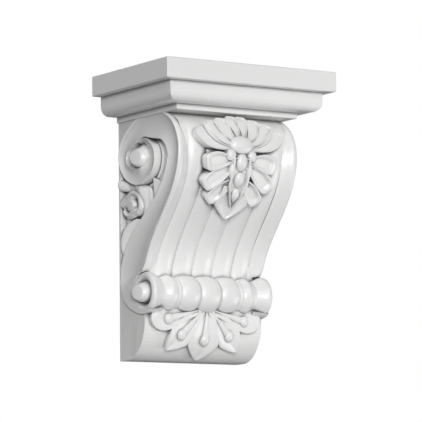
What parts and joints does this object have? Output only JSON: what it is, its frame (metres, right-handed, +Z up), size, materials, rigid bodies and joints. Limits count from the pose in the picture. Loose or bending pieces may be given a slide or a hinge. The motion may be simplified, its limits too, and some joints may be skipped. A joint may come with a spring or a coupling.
{
  "type": "wall corbel",
  "caption": "Wall corbel with a square cap over a reeded scroll, side volutes, carved palmettes and a beaded roll above a plain curved foot.",
  "frame": {"origin": "middle of the flat back that sits on the wall", "axes": "+Z up, +Y into the wall, so the corbel stands out towards -Y; X is its width and X = 0 its plane of symmetry"},
  "size_m": [0.1702, 0.1221, 0.2444],
  "materials": {
    "moulding": "satin white primer on rigid foam"
  },
  "bodies": {
    "root": {"corbel": "moulding"}
  },
  "joints": []
}
